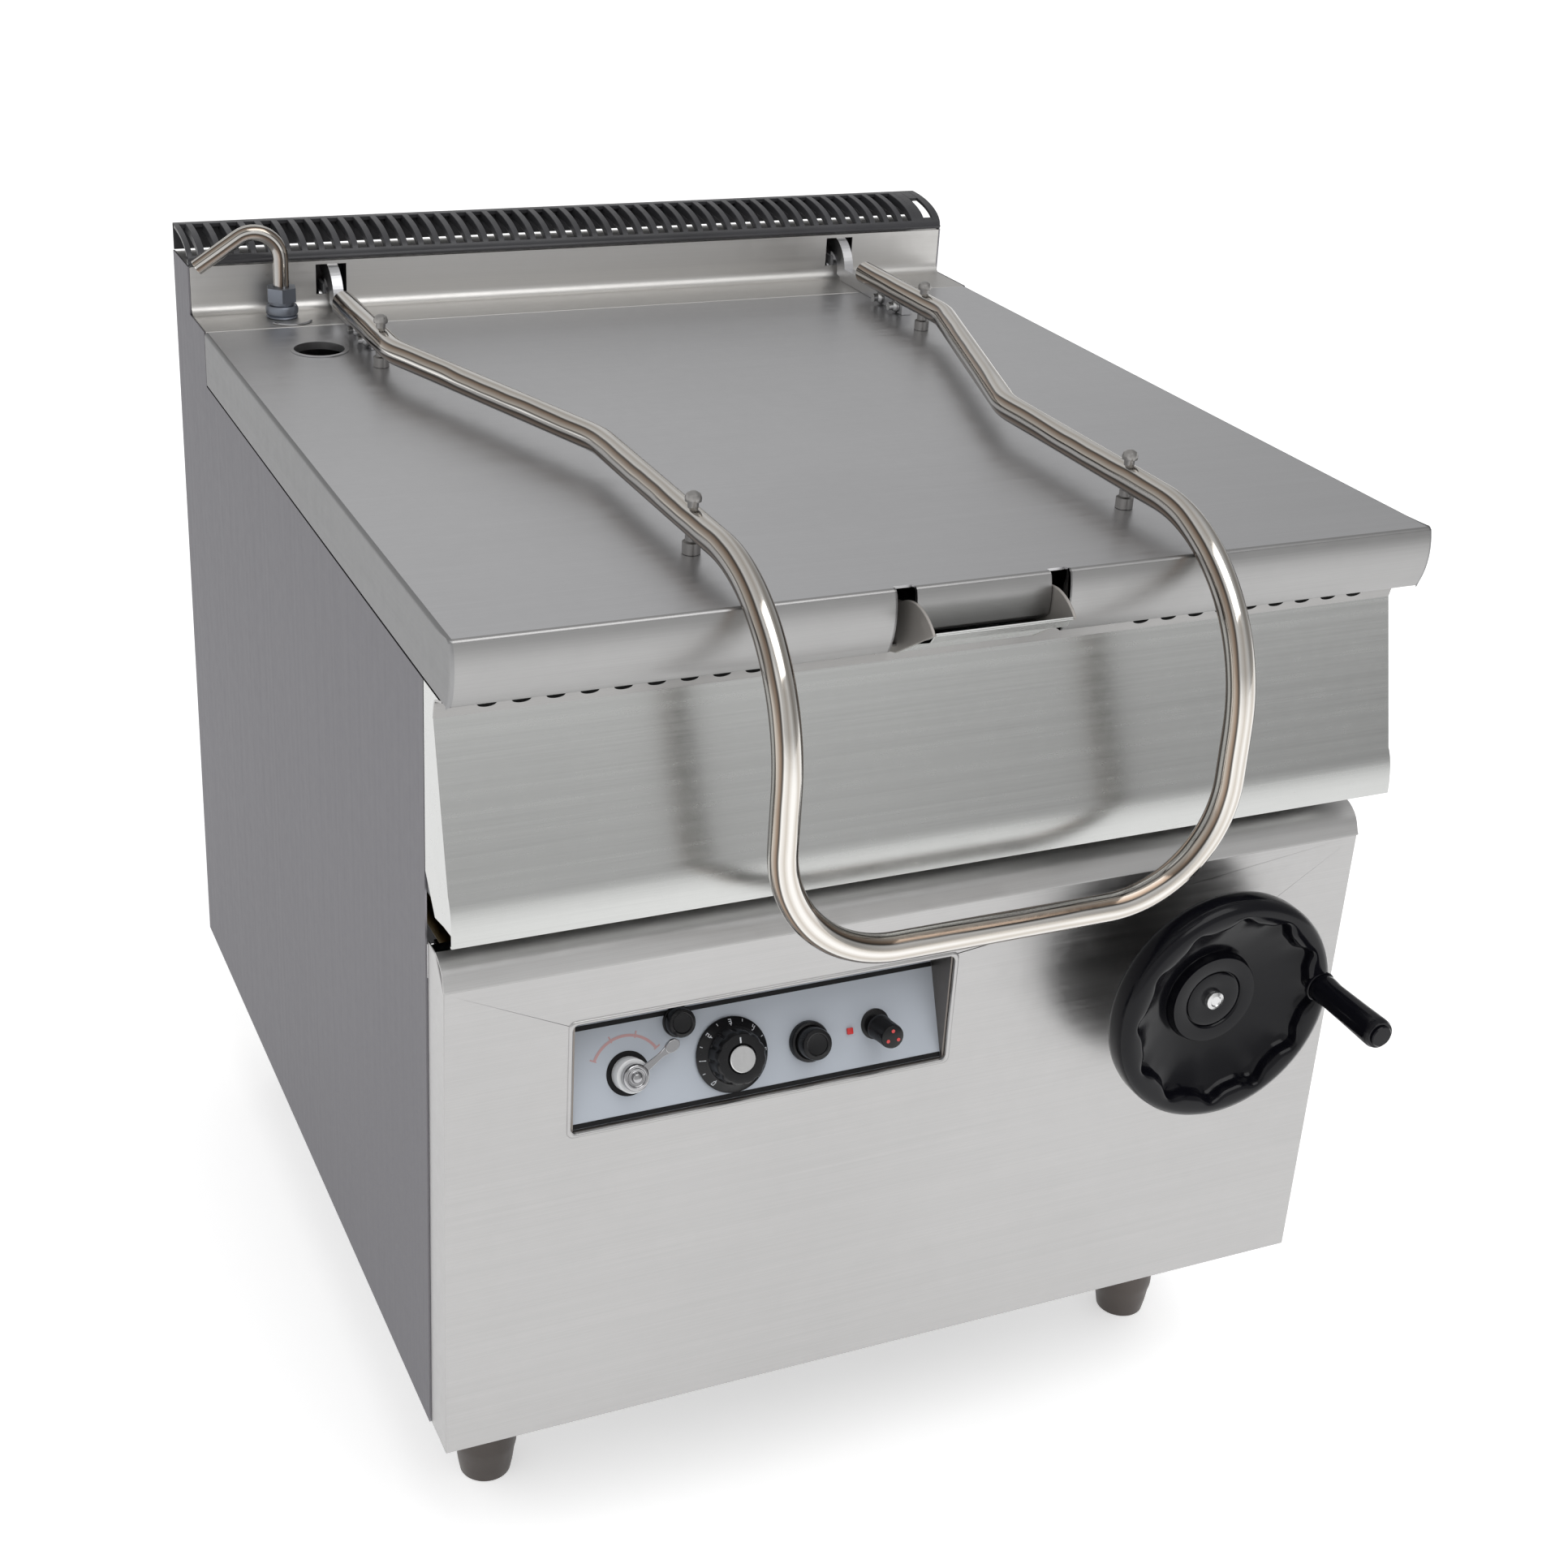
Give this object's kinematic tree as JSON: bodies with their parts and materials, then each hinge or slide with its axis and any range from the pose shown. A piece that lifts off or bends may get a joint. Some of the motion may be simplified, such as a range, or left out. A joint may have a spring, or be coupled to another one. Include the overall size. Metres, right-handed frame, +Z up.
{
  "type": "tilting bratt pan",
  "caption": "Free-standing gas-heated tilting braising pan with a hinged lid, bow handle, pouring spout, swivel tap, flue grille and handwheel tilt.",
  "frame": {"origin": "on the floor under the middle of the whole part", "axes": "+X to the right seen from the front, +Y from the front to the back, +Z up"},
  "size_m": [0.8, 1.0526, 0.9379],
  "materials": {
    "frame_steel": "painted",
    "foot_grey": "dark grey-brown",
    "side_steel": "brushed",
    "front_steel": "brushed",
    "control_enamel": "pale blue-white, satin",
    "casing_steel": "brushed",
    "grille_black": "charcoal enamel",
    "chamber_steel": "heat-stained",
    "brass_parts": "plain",
    "valve_alloy": "cast",
    "white_ceramic": "glazed",
    "cast_grey": "painted",
    "bright_steel": "turned",
    "pan_steel": "scoured",
    "apron_steel": "brushed along the width",
    "lid_steel": "brushed",
    "tube_steel": "polished",
    "chrome": "polished",
    "wheel_black": "gloss",
    "knob_black": "satin",
    "lamp_red": "clear red"
  },
  "bodies": {
    "frame": {"base_frame": "frame_steel", "front_left_foot": "foot_grey", "front_right_foot": "foot_grey", "rear_left_foot": "foot_grey", "rear_right_foot": "foot_grey", "left_side_panel": "side_steel", "right_side_panel": "side_steel", "back_panel": "side_steel", "front_panel": "front_steel", "control_plate": "control_enamel", "rear_casing": "casing_steel", "flue_grille": "grille_black", "flue_duct": "casing_steel", "combustion_tray": "chamber_steel", "burner_tubes": "chamber_steel", "gas_manifold": "brass_parts", "gas_valve": "valve_alloy", "igniter_body": "white_ceramic", "pilot_burner": "chamber_steel", "gas_inlet": "brass_parts", "left_trunnion_bearing": "cast_grey", "right_trunnion_bearing": "cast_grey", "left_hinge_bracket": "cast_grey", "right_hinge_bracket": "cast_grey", "left_hinge_pin": "bright_steel", "right_hinge_pin": "bright_steel", "front_screw_bearing": "cast_grey", "rear_screw_bearing": "cast_grey", "valve_boss": "white_ceramic", "indicator_lamp": "lamp_red", "tap_body": "chrome", "water_pipe": "brass_parts"},
    "pan": {"pan_tub": "pan_steel", "apron": "apron_steel", "pouring_spout": "apron_steel", "left_trunnion": "bright_steel", "right_trunnion": "bright_steel", "tilt_lug": "cast_grey"},
    "lid": {"lid_shell": "lid_steel", "fill_ring": "chrome", "bow_handle": "tube_steel", "handle_studs": "bright_steel", "left_hinge_arm": "lid_steel", "right_hinge_arm": "lid_steel", "hinge_bolts": "bright_steel"},
    "tilt_wheel": {"handwheel": "wheel_black", "wheel_cap": "wheel_black", "grip_bolt": "bright_steel", "screw_shaft": "bright_steel"},
    "wheel_grip": {"grip": "wheel_black"},
    "nut": {"screw_nut": "brass_parts"},
    "link": {"tilt_link": "cast_grey"},
    "tap_spout": {"tap_spout": "chrome"},
    "water_lever": {"valve_lever": "chrome"},
    "thermostat_knob": {"thermostat_dial": "knob_black", "dial_cap": "chrome"},
    "reset_push": {"reset_button": "knob_black"},
    "igniter_push": {"igniter_button": "knob_black"},
    "pilot_push": {"pilot_spindle": "chrome"}
  },
  "joints": [
    {"name": "pan_tilt", "type": "hinge", "parent": "frame", "child": "pan", "pos_m": [0, -0.3657, 0.65], "axis": [1, 0, 0], "range_deg": [0, 70]},
    {"name": "lid_hinge", "type": "hinge", "parent": "frame", "child": "lid", "pos_m": [0, 0.4463, 0.858], "axis": [-1, 0, 0], "range_deg": [0, 60]},
    {"name": "handwheel_turn", "type": "hinge", "parent": "frame", "child": "tilt_wheel", "pos_m": [0.24, -0.4257, 0.466], "axis": [0, -1, 0], "range_deg": [0, 1440]},
    {"name": "nut_travel", "type": "slide", "parent": "frame", "child": "nut", "axis": [0, 1, 0], "range_m": [0, 0.08205]},
    {"name": "link_pivot", "type": "hinge", "parent": "nut", "child": "link", "pos_m": [0.24, -0.15642, 0.503], "axis": [-1, 0, 0], "range_deg": [0, 29.16]},
    {"name": "grip_spin", "type": "hinge", "parent": "tilt_wheel", "child": "wheel_grip", "pos_m": [0.32866, -0.4557, 0.47376], "axis": [0, -1, 0], "continuous": true},
    {"name": "tap_swivel", "type": "hinge", "parent": "frame", "child": "tap_spout", "pos_m": [-0.318, 0.4093, 0.87], "axis": [0, 0, -1], "range_deg": [-85, 0]},
    {"name": "water_lever_turn", "type": "hinge", "parent": "frame", "child": "water_lever", "pos_m": [-0.248, -0.35858, 0.45947], "axis": [0, -0.9272, 0.3746], "range_deg": [0, 120]},
    {"name": "thermostat_turn", "type": "hinge", "parent": "frame", "child": "thermostat_knob", "pos_m": [-0.1624, -0.35876, 0.45901], "axis": [0, 0.9272, -0.3746], "range_deg": [0, 270]},
    {"name": "reset_press", "type": "slide", "parent": "frame", "child": "reset_push", "axis": [0, 0.9272, -0.3746], "range_m": [0, 0.003], "stiffness_N_per_m": 600, "springref_m": -0.001},
    {"name": "igniter_press", "type": "slide", "parent": "frame", "child": "igniter_push", "axis": [0, 0.9272, -0.3746], "range_m": [0, 0.004], "stiffness_N_per_m": 800, "springref_m": -0.001},
    {"name": "pilot_press", "type": "slide", "parent": "frame", "child": "pilot_push", "axis": [0, 0.9272, -0.3746], "range_m": [0, 0.004], "stiffness_N_per_m": 600, "springref_m": -0.001}
  ],
  "couplings": [
    {"joint": "lid_hinge", "follows": "pan_tilt", "ratio": 0.85714},
    {"joint": "handwheel_turn", "follows": "pan_tilt", "ratio": 20.571},
    {"joint": "nut_travel", "follows": "pan_tilt", "m_per_rad": 0.067155},
    {"joint": "link_pivot", "follows": "pan_tilt", "ratio": 0.41652}
  ]
}
